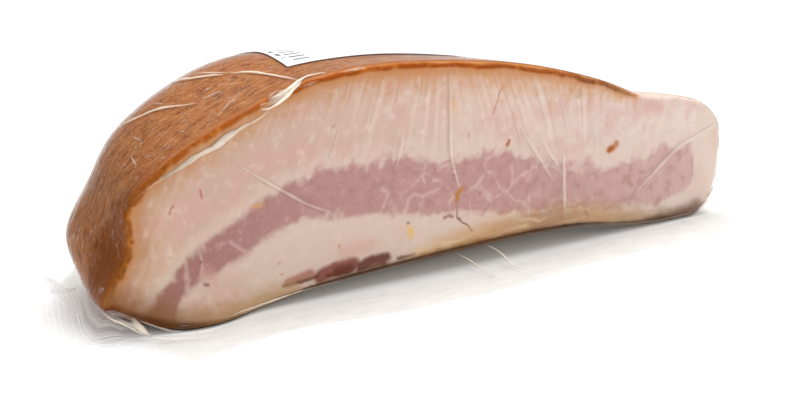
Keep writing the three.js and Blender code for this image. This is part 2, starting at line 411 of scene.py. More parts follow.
def flap_lift(x, y):
    along = soft_step((y + 1.0) / 12.0) * (1.0 - soft_step((y - 20.0) / 24.0))
    return FLAP_HEIGHT * along * soft_step((24.0 - x) / 20.0)


def margin_folds(x, y, out, width):
    """Small ups and downs of the sheet, in millimetres, at a distance out from the foot"""
    ribs = 0.06 * (1.0 + np.sin(out * 3.6)) * soft_step((8.0 - x) / 10.0) * soft_step(out / 4.0)
    corner = math.hypot(x - 9.0, y + 6.0)
    turn = math.atan2(y + 6.0, x - 9.0)
    pleats = 0.35 * (1.0 + math.sin(turn * 15.0)) * bell((corner - 9.0) / 7.0) * soft_step((40.0 - x) / 20.0)
    waves = 0.15 * (1.0 + math.sin(x / 6.5 + 1.3 * math.sin(y / 9.0))) * soft_step(out / width)
    return ribs + pleats + waves


MARGIN_ROWS = [-4.0, -1.2, 0.0] + [i / 22.0 for i in range(1, 23)]
margin_rings = [[] for _ in MARGIN_ROWS]
margin_out = [[] for _ in MARGIN_ROWS]
for ex, ey in margin_edge:
    angle = math.atan2(ey - MARGIN_CENTRE[1], ex - MARGIN_CENTRE[0])
    reach, foot = foot_at(angle)
    width = math.hypot(ex - MARGIN_CENTRE[0], ey - MARGIN_CENTRE[1]) - reach - 0.15
    drop = min(DROP_RUN, 0.65 * width)
    for ring, outs, row in zip(margin_rings, margin_out, MARGIN_ROWS):
        out = row if row <= 0.0 else row * width
        outs.append(out)
        x = MARGIN_CENTRE[0] + (reach + out) * math.cos(angle)
        y = MARGIN_CENTRE[1] + (reach + out) * math.sin(angle)
        fall = (foot + 1.2) * (1.0 - soft_step(max(out, 0.0) / drop))
        lift = flap_lift(ex, ey) * soft_step(out / width)
        fold = margin_folds(x, y, out, width) if out > 0.0 else 0.0
        ring.append(place(x, y, LIFTED + fall + lift + fold))
film_margin = loft("film_margin", margin_rings, fill_start=False, fill_end=False)
stored_values = film_margin.data.attributes
rows, arounds = stored_values["row"].data, stored_values["around"].data
out_mm = [margin_out[row.value][around.value] for row, around in zip(rows, arounds)]
stored_values.new("out_mm", "FLOAT", "POINT").data.foreach_set("value", out_mm)
report(film_margin)

# %% [markdown]
# ## Node helpers
# A material here is a tree of many small nodes. A few helpers keep it readable: one adds a node
# and feeds its sockets, the others are the handful of steps that every pattern below is made of.

# %% Helpers that build node trees
GRAPH_LENGTH = 220.0


def srgb(red, green, blue):
    """A colour as seen, 0 to 255, turned into the linear values that shaders use"""
    values = [c / 255.0 for c in (red, green, blue)]
    return tuple(c / 12.92 if c <= 0.04045 else ((c + 0.055) / 1.055) ** 2.4 for c in values) + (1.0,)


def add(tree, kind, inputs=None, **settings):
    made = tree.nodes.new(kind)
    for key, value in settings.items():
        setattr(made, key, value)
    for key, value in (inputs or {}).items():
        if isinstance(value, bpy.types.NodeSocket):
            tree.links.new(value, made.inputs[key])
        else:
            made.inputs[key].default_value = value
    return made


def tree_of(*values):
    """The node tree of the first socket among some values"""
    return next(value.id_data for value in values if isinstance(value, bpy.types.NodeSocket))


def maths(operation, *values):
    return add(tree_of(*values), "ShaderNodeMath", dict(enumerate(values)), operation=operation).outputs[0]


def times(a, b):
    return maths("MULTIPLY", a, b)


def times_plus(a, b, c):
    return maths("MULTIPLY_ADD", a, b, c)


def plus(a, b):
    return maths("ADD", a, b)


def minus(a, b):
    return maths("SUBTRACT", a, b)


def over(a, b):
    return maths("DIVIDE", a, b)


def centred(value, size):
    """A noise of 0 to 1 turned into ups and downs around nothing"""
    return times(minus(value, 0.5), size)


def fade(value, start, end):
    """A soft step: 0 at start, 1 at end, also where start is the larger"""
    return add(value.id_data, "ShaderNodeMapRange", {0: value, 1: start, 2: end},
               interpolation_type="SMOOTHSTEP", clamp=False).outputs[0]


def mix(amount, first, second):
    return add(tree_of(amount, first, second), "ShaderNodeMix", {0: amount, 6: first, 7: second},
               data_type="RGBA").outputs[2]


def layered(colour, layers):
    """A colour with others faded in by patterns: rows of pattern, from, to, strength and colour"""
    for pattern, start, end, strength, other in layers:
        colour = mix(times(fade(pattern, start, end), strength), colour, srgb(*other))
    return colour


def noise(place_socket, stretch, detail=2.0, rough=0.5):
    """Noise of 0 to 1; stretch is how many waves fit in a millimetre along x, y and z"""
    tree = place_socket.id_data
    scaled = add(tree, "ShaderNodeMapping", {"Vector": place_socket, "Scale": stretch}).outputs[0]
    return add(tree, "ShaderNodeTexNoise",
               {"Vector": scaled, "Scale": 1.0, "Detail": detail, "Roughness": rough}).outputs[0]


def line_noise(value, detail=3.0, rough=0.6):
    """Noise that changes with one value only, so it draws lines where that value is the same"""
    return add(value.id_data, "ShaderNodeTexNoise",
               {"W": value, "Scale": 1.0, "Detail": detail, "Roughness": rough},
               noise_dimensions="1D").outputs[0]


def graph(value, points, low, high):
    """A smooth curve through points (mm along the cut, value), as a Float Curve node; it is drawn
    over a length a little more than the cut's"""
    made = add(value.id_data, "ShaderNodeFloatCurve", {1: over(value, GRAPH_LENGTH)})
    line = made.mapping.curves[0]
    shares = [(x / GRAPH_LENGTH, (y - low) / (high - low)) for x, y in points]
    line.points[0].location, line.points[1].location = shares[0], shares[-1]
    for x, y in shares[1:-1]:
        line.points.new(x, y)
    made.mapping.update()
    return times_plus(made.outputs[0], high - low, low)


def at_the_cut(tree):
    """The place of a point in millimetres at the cut, and its three parts"""
    position = add(tree, "ShaderNodeTexCoord").outputs["Object"]
    turned = add(tree, "ShaderNodeMapping",
                 {"Vector": position, "Location": (-CUT_X / MM, -CUT_Y / MM, 0.0),
                  "Scale": (1 / MM, 1 / MM, 1 / MM)}).outputs[0]
    parts = add(tree, "ShaderNodeSeparateXYZ", {0: turned})
    return turned, parts.outputs[0], parts.outputs[1], parts.outputs[2]


def new_material(name):
    made = bpy.data.materials.new(name)
    made.use_nodes = True
    return made, made.node_tree, made.node_tree.nodes["Principled BSDF"]


print("node helpers ready")

# %% [markdown]
# Spots, veins, cracks and folds of film are all the same shape: a line with round ends. So one
# group measures how far a point is from such a line and turns that into a soft mask.

# %% The mark group
def new_group(name, inputs, outputs):
    group = bpy.data.node_groups.new(name, "ShaderNodeTree")
    for way, sockets in (("INPUT", inputs), ("OUTPUT", outputs)):
        for label, kind in sockets:
            group.interface.new_socket(label, in_out=way, socket_type=kind)
    return group, group.nodes.new("NodeGroupInput"), group.nodes.new("NodeGroupOutput")


mark_group, given, result = new_group(
    "mark", [("Point", "NodeSocketVector"), ("Start", "NodeSocketVector"), ("End", "NodeSocketVector"),
             ("Radius", "NodeSocketFloat"), ("Softness", "NodeSocketFloat")], [("Mask", "NodeSocketFloat")])


def vector_maths(operation, *values):
    made = add(tree_of(*values), "ShaderNodeVectorMath", dict(enumerate(values)), operation=operation)
    return made.outputs["Value"] if operation in ("DOT_PRODUCT", "LENGTH") else made.outputs[0]


from_start = vector_maths("SUBTRACT", given.outputs["Point"], given.outputs["Start"])
run = vector_maths("SUBTRACT", given.outputs["End"], given.outputs["Start"])
share = over(vector_maths("DOT_PRODUCT", from_start, run), vector_maths("DOT_PRODUCT", run, run))
share = maths("MINIMUM", maths("MAXIMUM", share, 0.0), 1.0)
reached = add(mark_group, "ShaderNodeVectorMath", {0: run, 3: share}, operation="SCALE").outputs[0]
apart = vector_maths("LENGTH", vector_maths("SUBTRACT", from_start, reached))
inner = minus(given.outputs["Radius"], given.outputs["Softness"])
outer = plus(given.outputs["Radius"], given.outputs["Softness"])
mark_group.links.new(fade(apart, outer, inner), result.inputs["Mask"])


def marks(point, lines, radius, softness):
    """The mask of several broken lines together; each line is a list of points in millimetres"""
    together = None
    for line in lines:
        corners = [(p[0], 0.0, p[1]) if len(p) == 2 else p for p in line]
        for start, end in zip(corners[:-1], corners[1:]):
            one = add(point.id_data, "ShaderNodeGroup",
                      {"Point": point, "Start": start, "End": end, "Radius": radius, "Softness": softness},
                      node_tree=mark_group).outputs[0]
            together = one if together is None else maths("MAXIMUM", together, one)
    return together


print("mark group has", len(mark_group.nodes), "nodes")

# %% [markdown]
# ## The cut
# Fat, lean and the smoked rim of the cut are one material, because they melt into each other. The
# fat comes first: pale and a little pink, more yellow near the smoke, with fine streaks that fan
# out from the rind where the knife went through its fibres.

# %% The fat of the cut
cut_material, meat, cut_shader = new_material("smoked_cut")
spot, x_mm, y_mm, z_mm = at_the_cut(meat)
flat = vector_maths("MULTIPLY", spot, (1.0, 0.0, 1.0))


def stored(tree, name):
    return add(tree, "ShaderNodeAttribute", attribute_name=name).outputs["Fac"]


rind_mm, foot_mm = stored(meat, "rind_mm"), stored(meat, "foot_mm")


def along_cut(points):
    """A colour that changes along the cut, from a few (mm, colour) pairs"""
    made = add(meat, "ShaderNodeValToRGB", {0: over(x_mm, GRAPH_LENGTH)})
    stops = made.color_ramp.elements
    stops[0].position, stops[0].color = points[0][0] / GRAPH_LENGTH, srgb(*points[0][1])
    stops[1].position, stops[1].color = points[-1][0] / GRAPH_LENGTH, srgb(*points[-1][1])
    for x, colour in points[1:-1]:
        stops.new(x / GRAPH_LENGTH).color = srgb(*colour)
    return made.outputs[0]


def blend(colour, mask, strength, other):
    """The colour of the cut with some of another colour where a mask says so"""
    amount = times(mask, strength)
    return mix(amount, colour, srgb(*other) if isinstance(other, tuple) else other)


slow = noise(spot, (0.09, 0.0, 0.09), 3.0)
mottle = noise(spot, (0.27, 0.0, 0.27), 4.0, 0.55)
fine = noise(spot, (0.9, 0.0, 0.9), 3.0, 0.6)
fat = along_cut([(2, (186, 154, 126)), (12, (200, 168, 144)), (28, (199, 170, 154)), (60, (200, 173, 158)),
                 (95, (208, 183, 169)), (130, (214, 192, 179)), (165, (214, 195, 184)),
                 (200, (220, 203, 194)), (214, (225, 207, 196))])
fat = layered(fat, [
    (slow, 0.46, 0.62, 0.5, (208, 166, 156)), (mottle, 0.5, 0.7, 0.4, (230, 213, 201)),
    (mottle, 0.46, 0.3, 0.35, (198, 160, 144)), (fine, 0.54, 0.74, 0.15, (232, 215, 204)),
    (fine, 0.44, 0.28, 0.2, (196, 158, 144)),
])
slope = graph(x_mm, [(0, 0.5), (40, 0.5), (72, 0.42), (95, 0.28), (108, 0.0), (120, -0.3), (135, -0.42),
                     (150, -0.3), (165, 0.0), (190, 0.1), (220, 0.2)], -1.0, 1.0)
streak_x = minus(x_mm, times(minus(z_mm, 45.0), slope))
streak_x = times_plus(mottle, 1.8, streak_x)
streaks = line_noise(times(streak_x, 0.5), 2.0, 0.55)
streak_here = times(fade(z_mm, 22.0, 42.0), graph(x_mm, [
    (0, 0.0), (40, 0.05), (60, 0.3), (80, 0.7), (95, 0.95), (150, 0.95), (170, 0.4), (190, 0.1), (220, 0.0)],
                                                  0.0, 1.0))
streak_here = times(streak_here, fade(noise(spot, (0.2, 0.0, 0.06), 2.0), 0.34, 0.62))
fat = blend(fat, times(fade(streaks, 0.5, 0.78), streak_here), 0.45, (236, 219, 207))
fat = blend(fat, times(fade(streaks, 0.5, 0.26), streak_here), 0.35, (198, 158, 142))
print("fat has", len(meat.nodes), "nodes so far")

# %% [markdown]
# The lean band is drawn by two curves, its top and its bottom, over the length of the cut. The
# distance to the nearer curve, swelled by slow noise, gives the soft lobes of its edge, which are
# smaller at the thick end. Thin pale veins run through its middle, and the fat next to it is paler
# than the rest.

# %% The lean band
BAND_TOP = [(5, -4), (9, 1.5), (12, 4.8), (15.6, 8.9), (18.8, 11.8), (22.5, 15.2), (26.2, 18.9), (29.8, 20.5),
            (33.5, 22.6), (37.2, 24.5), (40.9, 26.3), (44.7, 28.7), (52.2, 31), (58.5, 33.4), (69.5, 35.6),
            (84.5, 35.4), (93.5, 35.3), (99.5, 34.1), (106.5, 31.6), (121.5, 32.7), (134.5, 30.1),
            (143.5, 26.6), (154, 24.3), (164.5, 22.3), (175.5, 21), (189.5, 23.2), (196.5, 24.3), (202.2, 23),
            (206, 17)]
BAND_BOTTOM = [(5, -5), (15, -4.5), (18.8, 1.5), (21.4, 6.0), (24.2, 8.6), (27.2, 10.0), (29.6, 11.2),
               (33.2, 12), (36.9, 13.6), (40.6, 14.8), (44.3, 16.4), (48.2, 19), (51.9, 20), (57, 21.5),
               (63.8, 22.8), (78.5, 21.1), (93.5, 19.6), (105.5, 16.5), (118.5, 15.4), (134.5, 12.4),
               (144.1, 10.1), (165, 8.8), (179.5, 6.8), (191.5, 6.4), (201.3, 9), (206, 17)]
band_top = graph(x_mm, BAND_TOP, -10.0, 60.0)
band_bottom = graph(x_mm, BAND_BOTTOM, -10.0, 60.0)
feather = line_noise(times_plus(streak_x, 0.3, 40.0), 1.0, 0.5)
lobes = noise(spot, (0.17, 0.0, 0.17), 2.0, 0.5)
to_top = minus(band_top, z_mm)
feather_here = graph(x_mm, [(0, 0.5), (45, 1.0), (58, 3.4), (92, 3.4), (105, 2.0), (150, 1.4), (220, 1.0)],
                     0.0, 5.0)
to_top = plus(to_top, centred(feather, feather_here))
to_bottom = minus(z_mm, band_bottom)
lean_mm = maths("MINIMUM", times(to_top, 0.85), to_bottom)
lobe_size = graph(x_mm, [(0, 1.5), (30, 2.0), (46, 3.0), (62, 6.5), (80, 8.0), (220, 8.0)], 0.0, 10.0)
lean_mm = plus(centred(lobes, lobe_size), plus(lean_mm, centred(fine, 0.8)))
fat = blend(fat, fade(lean_mm, -5.5, -1.2), 0.5, (215, 197, 183))
fat = blend(fat, times(fade(to_bottom, 0.0, -3.0), fade(x_mm, 30.0, 50.0)), 0.6, (214, 196, 182))
lean_mm = plus(lean_mm, centred(noise(spot, (0.36, 0.0, 0.36), 1.0), 2.6))
lean_mask = fade(lean_mm, -1.3, 1.6)
lean = along_cut([(12, (146, 94, 80)), (20, (158, 112, 103)), (35, (166, 124, 117)), (60, (178, 137, 132)),
                  (95, (184, 144, 139)), (130, (187, 148, 142)), (165, (194, 158, 153)),
                  (200, (199, 168, 162))])
lean = layered(lean, [
    (mottle, 0.52, 0.32, 0.4, (166, 114, 110)), (mottle, 0.54, 0.72, 0.4, (212, 176, 168)),
    (fine, 0.55, 0.72, 0.25, (218, 188, 180)), (foot_mm, 9.0, 2.0, 0.55, (150, 108, 82)),
])
VEINS = [[(133.3, 27), (133.4, 22.8), (132.7, 21), (131, 19)],
         [(96.3, 22.8), (97.7, 24), (101.2, 22.9), (106.7, 24)], [(96.3, 22.8), (95.6, 19.4), (94.3, 18.4)],
         [(87.5, 27.1), (89.5, 25.6), (88.8, 24), (87.5, 21.9)], [(29.4, 18.8), (30, 14.9), (29.6, 12.2)],
         [(24.6, 16.9), (25.7, 12.4), (25, 9.8)], [(38.6, 20.3), (42.8, 17)]]
wobbled = vector_maths("ADD", flat, add(meat, "ShaderNodeCombineXYZ",
                                        {0: centred(mottle, 3.0), 2: centred(fine, 1.0)}).outputs[0])
vein_bend = add(meat, "ShaderNodeCombineXYZ", {0: centred(slow, 10.0), 2: centred(lobes, 6.0)}).outputs[0]
vein_place = add(meat, "ShaderNodeMapping",
                 {"Vector": vector_maths("ADD", wobbled, vein_bend), "Scale": (0.1, 0.0, 0.085)}).outputs[0]
veins = add(meat, "ShaderNodeTexVoronoi", {"Vector": vein_place, "Scale": 1.0},
            feature="DISTANCE_TO_EDGE").outputs[0]
veins_here = graph(x_mm, [(0, 0.0), (80, 0.05), (96, 0.25), (108, 0.45), (148, 0.42), (165, 0.1), (220, 0.1)],
                   0.0, 1.0)
lean = blend(lean, times(fade(veins, 0.055, 0.0), fade(mottle, 0.35, 0.6)), veins_here, (222, 197, 188))
lean = blend(lean, marks(wobbled, VEINS, 0.4, 0.8), 0.5, (222, 196, 186))
cut_colour = mix(lean_mask, fat, lean)
print("lean band has", len(BAND_TOP) + len(BAND_BOTTOM), "curve points")

# %% [markdown]
# Near the foot lie a few small strips of darker lean, and the cut has its own small marks: spots of
# smoke and fat, two red threads, and a crack with a drop of juice. They tell one piece of meat
# from another, so each is set where it is on the real cut.

# %% Strips, spots and the crack
MARKS = [
    # colour, how strong, radius, softness, lines
    ((166, 112, 98), 0.9, 1.4, 0.8, [[(56.4, 5.7), (59.8, 6.3), (63.2, 7.0)]]),
    ((132, 74, 62), 0.95, 2.1, 0.9, [[(66.4, 5.6), (71.5, 6.9), (77.2, 7.3)]]),
    ((108, 58, 46), 0.95, 1.5, 0.8, [[(80.0, 6.2), (83.6, 7.2), (88.6, 7.1)], [(72.2, 5.8), (76.2, 6.0)]]),
    ((104, 60, 38), 0.85, 0.55, 0.5, [[(54.6, 5.1), (60.6, 5.2), (65.4, 5.9)], [(69, 5.4), (77, 5.6)],
                                      [(79, 5.2), (88, 5.6)], [(92.4, 6.1), (98.2, 6.1)]]),
    ((206, 160, 148), 0.5, 1.9, 1.6, [[(74.4, 11), (83.4, 11.8)], [(31, 13), (33, 11)],
                                      [(186, 37), (190, 36.5)]]),
    ((180, 96, 84), 0.7, 0.35, 0.35, [[(21.2, 31), (21.9, 32.9)], [(29.8, 35.8), (30.5, 34)]]),
    ((186, 116, 92), 0.7, 0.2, 0.2, [[(128.8, 50.7), (125.7, 43.5)]]),
    ((178, 112, 56), 0.85, 1.1, 0.8, [[(170.4, 26.2), (172, 26.6), (173.2, 27.8)]]),
    ((166, 86, 24), 0.85, 0.65, 0.5, [[(170.2, 26.1), (171.8, 26.7)], [(131.4, 33.6), (132, 34.5)]]),
    ((186, 120, 46), 0.85, 0.65, 0.5, [[(115, 22.8), (113.6, 21.6), (113.2, 19.8)]]),
    ((206, 158, 104), 0.75, 0.7, 0.6, [[(46.6, 29), (48.4, 28.8)]]),
    ((224, 184, 96), 0.75, 1.0, 1.1, [[(96.4, 14), (97, 12.2)]]),
    ((220, 178, 128), 0.6, 1.0, 0.9, [[(111.6, 48.6), (112, 46.8)]]),
    ((126, 86, 78), 0.8, 0.4, 0.4, [[(30.2, 10.1), (31.2, 9.9)], [(28.9, 16.5), (29.6, 16.4)],
                                    [(96.2, 15.9), (96.5, 15.8)]]),
    ((190, 138, 104), 0.7, 0.3, 0.3, [[(73.1, 13.6), (73.1, 12.6)], [(53.1, 11.8), (53.3, 11.8)],
                                      [(54, 8.6), (54.5, 8.5)], [(28.5, 4.7), (29, 4.6)]]),
    ((178, 142, 128), 0.6, 0.4, 0.35, [[(116.8, 38), (117.6, 38.7)], [(108.1, 54.1), (108.3, 54.3)],
                                       [(71.4, 47.3), (71.6, 47.4)]]),
    ((170, 132, 112), 0.55, 0.8, 0.8, [[(158, 44.6), (158, 46)], [(154.3, 47.4), (154.7, 46.4)],
                                       [(176.8, 16.8), (179.4, 14.2)]]),
    ((124, 76, 70), 0.8, 0.28, 0.26, [[(113.2, 17.4), (113.6, 14.8), (114.8, 13.2), (117, 11.4),
                                       (119, 9.5)]]),
    ((150, 92, 92), 0.75, 0.45, 0.4, [[(108.9, 15.3), (110.3, 15.7), (111.7, 15.2)]]),
    ((110, 66, 36), 0.8, 0.5, 0.4, [[(161.1, 8.4), (162.7, 6.7)]]),
]
for colour, strength, radius, softness, lines in MARKS:
    cut_colour = blend(cut_colour, marks(wobbled, lines, radius, softness), strength, colour)
print(len(MARKS), "kinds of marks on the cut")

# %% [markdown]
# Smoke soaks in from outside. Under the rind there is a dark orange line, on the very edge at the
# left and a little inside it further right, and a yellow zone with streaks that fades into the
# fat. Along the foot it is a brown crust with an ochre zone over it, which has cream strands in
# the middle, and the lower right corner is brown.

# %% Smoke along the rim of the cut
rim_noise = noise(spot, (0.13, 0.0, 0.15), 3.0, 0.55)
rim_wave = minus(rim_noise, 0.5)
rim_line = graph(x_mm, [(0, 0.9), (14, 0.8), (26, 0.4), (45, 0.5), (58, 1.0), (80, 1.3), (150, 1.3),
                        (176, 0.9), (220, 0.5)], 0.0, 4.0)
rim_width = graph(x_mm, [(0, 1.3), (12, 1.3), (25, 1.4), (45, 1.4), (60, 1.1), (80, 0.9), (130, 0.9),
                         (160, 1.1), (176, 0.8), (190, 0.3), (220, 0.2)], 0.0, 4.0)
rim_here = times_plus(rim_wave, times(rim_width, 2.4), rind_mm)
ragged = graph(x_mm, [(0, 4.0), (14, 4.0), (25, 2.6), (45, 1.4), (220, 1.4)], 0.0, 6.0)
rim_here = times_plus(minus(mottle, 0.5), ragged, rim_here)
yellow_reach = graph(x_mm, [(0, 8), (10, 9), (25, 10), (45, 10.5), (60, 10.5), (90, 11.5), (130, 11.5),
                            (160, 9), (182, 4), (220, 3)], 0.0, 12.0)
yellow_mm = plus(rind_mm, plus(times(rim_wave, 8.0), centred(streaks, 5.0)))
yellow_here = over(plus(yellow_mm, centred(mottle, 6.0)), yellow_reach)
rind_reach = fade(x_mm, 192.0, 172.0)
cut_colour = blend(cut_colour, fade(yellow_here, 1.1, 0.0), times(rind_reach, 0.88), along_cut([
    (0, (160, 120, 82)), (12, (176, 134, 96)), (30, (192, 140, 90)), (60, (192, 141, 94)),
    (100, (196, 141, 90)), (180, (204, 156, 110))]))
tan_reach = graph(x_mm, [(0, 5.0), (14, 4.5), (30, 3.5), (70, 4.0), (150, 4.0), (180, 2.0), (220, 2.0)], 0.0,
                  6.0)
tan_here = over(minus(rim_here, rim_line), tan_reach)
cut_colour = blend(cut_colour, fade(tan_here, 1.0, 0.0), times(rind_reach, 0.75), (190, 126, 66))
off_line = maths("ABSOLUTE", minus(rim_here, rim_line))
orange = along_cut([(0, (136, 80, 30)), (10, (146, 84, 28)), (20, (152, 78, 8)), (30, (158, 80, 4)),
                    (50, (164, 80, 4)), (75, (160, 74, 8)), (120, (158, 74, 14)), (148, (164, 88, 36)),
                    (166, (128, 80, 50)), (180, (172, 120, 80))])
orange = blend(orange, fade(fine, 0.5, 0.38), 0.5, (112, 54, 12))
orange = blend(orange, fade(mottle, 0.52, 0.66), 0.5, (204, 124, 44))
cut_colour = blend(cut_colour, fade(over(off_line, rim_width), 1.3, 0.25), rind_reach, orange)

foot_noise = noise(spot, (0.2, 0.0, 0.35), 3.0, 0.6)
foot_wave = centred(foot_noise, 5.0)
foot_reach = graph(x_mm, [(0, 6), (14, 8.5), (26, 7), (40, 6), (52, 5.6), (62, 2.0), (68, 1.0), (90, 1.0),
                          (97, 3.4), (108, 6.4), (130, 8.6), (150, 9.4), (165, 8.6), (185, 5.4), (205, 3.6),
                          (212, 1), (220, 1)], 0.0, 12.0)
foot_here = over(plus(foot_mm, foot_wave), foot_reach)
ochre = along_cut([(4, (142, 92, 52)), (16, (136, 92, 58)), (28, (160, 122, 84)), (40, (180, 144, 104)),
                   (60, (190, 156, 116)), (92, (208, 174, 130)), (125, (196, 152, 102)),
                   (147, (162, 122, 88)), (166, (188, 148, 106)), (190, (172, 138, 108)),
                   (205, (150, 118, 96))])
cream_here = graph(x_mm, [(0, 0.0), (85, 0.0), (100, 0.7), (135, 0.6), (160, 0.5), (185, 0.2), (220, 0.0)],
                   0.0, 1.0)
strands = noise(vector_maths("ADD", spot,
                             add(meat, "ShaderNodeCombineXYZ", {2: centred(slow, 5.0)}).outputs[0]),
                (0.06, 0.0, 0.45), 3.0, 0.55)
ochre = blend(ochre, fade(strands, 0.44, 0.7), cream_here, (226, 200, 158))
cut_colour = blend(cut_colour, fade(foot_here, 1.3, 0.3), 0.88, ochre)
crust = along_cut([(3, (104, 50, 8)), (12, (92, 48, 14)), (24, (88, 52, 22)), (34, (128, 90, 46)),
                   (60, (124, 84, 54)), (80, (112, 72, 46)), (98, (116, 74, 46)), (112, (130, 86, 48)),
                   (132, (134, 86, 48)), (154, (84, 50, 32)), (178, (108, 74, 52)), (196, (106, 80, 66))])
crust_width = graph(x_mm, [(0, 2.8), (12, 2.8), (26, 2.1), (36, 1.2), (50, 0.5), (64, 1.6), (76, 2.0),
                           (98, 1.9), (110, 2.3), (132, 2.3), (154, 1.7), (180, 1.6), (190, 2.4), (200, 2.4),
                           (207, 0.9), (212, 0.2), (220, 0.1)], 0.0, 4.0)
crust_here = over(times_plus(foot_wave, 0.3, foot_mm), crust_width)
cut_colour = blend(cut_colour, fade(crust_here, 1.35, 0.5), 0.95, crust)
corner = marks(wobbled, [[(190, 0.2), (197.4, 1.3), (203.7, 2.2), (206.6, 3.2)]], 1.9, 1.9)
cut_colour = blend(cut_colour, corner, 0.8, (122, 92, 78))
cut_height = times_plus(streaks, 0.5, times(mottle, 0.6))
cut_bump = add(meat, "ShaderNodeBump", {"Height": cut_height, "Strength": 0.6, "Distance": 0.0004})
meat.links.new(cut_bump.outputs[0], cut_shader.inputs["Normal"])
meat.links.new(cut_colour, cut_shader.inputs["Base Color"])
cut_shader.inputs["Roughness"].default_value = 0.5
cut_shader.inputs["Specular IOR Level"].default_value = 0.05
print("cut material has", len(meat.nodes), "nodes")

# %% [markdown]
# ## The rind
# The rind is thin skin, browned by smoke: golden brown on the crown, redder down the side and
# darkest round the edge of the cut at the left end. It has short streaks that run round the piece,
# so their noise is stretched along the sections. The right end has no rind, only dried creamy fat,
# and the underside is smoked fat.

# %% The rind, the bare end and the underside
rind_material, hide, rind_shader = new_material("smoked_rind")
spot, x_mm, y_mm, z_mm = at_the_cut(hide)
foot_share = stored(hide, "foot_share")
skin_slow = noise(spot, (0.06, 0.06, 0.06), 3.0)
skin_mottle = noise(spot, (0.25, 0.32, 0.25), 4.0, 0.65)
skin_lines = noise(spot, (0.22, 1.5, 0.22), 3.0, 0.6)
skin_fine = noise(spot, (1.2, 1.6, 1.2), 3.0, 0.7)


def part_of(value, start, end, strength):
    """A soft step that only goes up to a strength"""
    return times(fade(value, start, end), strength)


height_share = fade(times_plus(skin_slow, 20.0, z_mm), 16.0, 70.0)
rind = mix(height_share, srgb(174, 118, 81), srgb(172, 110, 63))
rind = layered(rind, [
    (skin_slow, 0.48, 0.64, 0.5, (166, 98, 56)), (skin_mottle, 0.48, 0.3, 0.7, (120, 62, 26)),
    (skin_mottle, 0.54, 0.7, 0.5, (196, 136, 76)), (skin_lines, 0.54, 0.68, 0.55, (208, 152, 96)),
    (skin_lines, 0.45, 0.32, 0.6, (110, 54, 20)), (skin_fine, 0.56, 0.7, 0.5, (212, 158, 104)),
    (skin_fine, 0.43, 0.3, 0.6, (98, 48, 18)),
])
wavy_y = plus(centred(skin_mottle, 9.0), y_mm)
left_end = times(fade(z_mm, 46.0, 34.0), fade(x_mm, 36.0, 16.0))
dark_y = times_plus(fade(z_mm, 40.0, 22.0), -9.0, wavy_y)
rind = mix(times(part_of(dark_y, 9.0, 0.0, 0.9), left_end), rind, srgb(132, 68, 16))
rind = mix(times(part_of(wavy_y, 4.5, 1.0, 0.8), left_end), rind, srgb(152, 84, 14))
rind = mix(times(part_of(y_mm, 1.6, 0.3, 0.7), left_end), rind, srgb(170, 108, 46))
high_end = minus(1.0, left_end)
rind = mix(times(part_of(wavy_y, 5.0, 1.0, 0.55), high_end), rind, srgb(176, 100, 44))
orange_y = times(part_of(times_plus(skin_fine, 1.2, y_mm), 2.4, 1.2, 0.75), high_end)
edge_colour = mix(fade(x_mm, 42.0, 52.0), srgb(146, 70, 6), srgb(220, 146, 64))
edge_colour = mix(fade(x_mm, 70.0, 84.0), edge_colour, srgb(160, 86, 26))
rind = mix(orange_y, rind, edge_colour)
low_edge = times(part_of(z_mm, 9.0, 3.0, 0.85), fade(x_mm, 60.0, 30.0))
rind = mix(low_edge, rind, srgb(118, 66, 20))
bare = mix(fade(skin_mottle, 0.35, 0.65), srgb(222, 190, 168), srgb(240, 218, 200))
bare_edge = plus(x_mm, centred(skin_mottle, 16.0))
skin = mix(fade(bare_edge, 176.0, 188.0), rind, bare)
under = mix(fade(skin_mottle, 0.35, 0.65), srgb(150, 106, 72), srgb(200, 166, 130))
under = mix(times(part_of(y_mm, 14.0, 4.0, 0.85), fade(x_mm, 60.0, 25.0)), under, srgb(96, 52, 20))
skin = mix(fade(foot_share, 0.2, 0.9), skin, under)
skin_height = times_plus(skin_lines, 0.8, times_plus(skin_fine, 0.4, skin_mottle))
rind_bump = add(hide, "ShaderNodeBump", {"Height": skin_height, "Strength": 0.9, "Distance": 0.0007})
hide.links.new(rind_bump.outputs[0], rind_shader.inputs["Normal"])
hide.links.new(skin, rind_shader.inputs["Base Color"])
hide.links.new(times_plus(skin_mottle, 0.25, 0.4), rind_shader.inputs["Roughness"])
rind_shader.inputs["Specular IOR Level"].default_value = 0.05
print("rind material has", len(hide.nodes), "nodes")

# %% Rind all over, and the cut material on the faces of the cut
jowl.data.materials.append(rind_material)
jowl.data.materials.append(cut_material)
cut_faces = 0
for face in jowl.data.polygons:
    corners = [jowl.data.vertices[i].co for i in face.vertices]
    deepest = max((corner.y - CUT_Y) / MM + lip(*at_cut_mm(corner)) for corner in corners)
    if deepest < 1.2:
        face.material_index = 1
        cut_faces += 1
print(cut_faces, "faces of the cut,", len(jowl.data.polygons) - cut_faces, "of the rind and the underside")

# %% [markdown]
# ## The clear film
# Film is almost invisible where it lies flat: it only adds gloss, more at a glancing angle. Where
# it is creased or lies double it scatters light and turns milky. So its shader is three layers:
# transparent, a thin gloss by Fresnel, and a milky layer as strong as the haze at that place.

